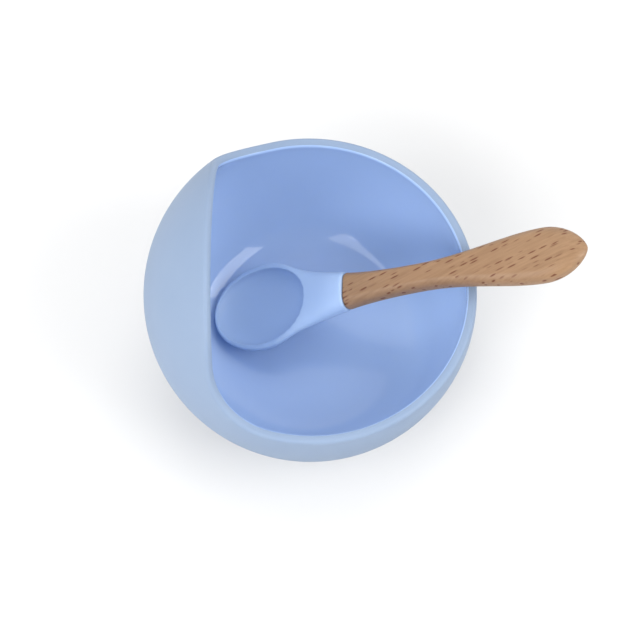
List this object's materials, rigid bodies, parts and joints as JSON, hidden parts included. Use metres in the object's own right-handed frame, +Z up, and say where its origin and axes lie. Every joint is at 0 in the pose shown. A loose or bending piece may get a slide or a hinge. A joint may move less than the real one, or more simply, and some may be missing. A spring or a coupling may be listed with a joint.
{
  "type": "suction bowl",
  "caption": "Ball-shaped silicone feeding bowl with a low front rim, a tall hood and a suction cup foot, with a silicone and beech spoon lying in it.",
  "frame": {"origin": "on the table, under the middle of the whole set's box, which is about 18 mm in front of the bowl's own upright axis", "axes": "+Z up from the table, +X from the hood to the low front rim and the spoon's handle end, +Y across"},
  "size_m": [0.1564, 0.1198, 0.0994],
  "materials": {
    "soft_silicone": "matt",
    "bowl_silicone": "matt outside, gloss inside",
    "spoon_silicone": "matt",
    "beech": "satin"
  },
  "bodies": {
    "suction_base": {"suction_cup": "soft_silicone"},
    "bowl": {"bowl_shell": "bowl_silicone"},
    "spoon": {"spoon_head": "spoon_silicone", "spoon_handle": "beech"}
  },
  "joints": [
    {"name": "bowl_lift", "type": "slide", "parent": "suction_base", "child": "bowl", "axis": [0, 0, 1], "range_m": [0, 0.03]},
    {"name": "spoon_lift", "type": "slide", "parent": "bowl", "child": "spoon", "axis": [0.0995, 0, 0.995], "range_m": [0, 0.12]}
  ]
}
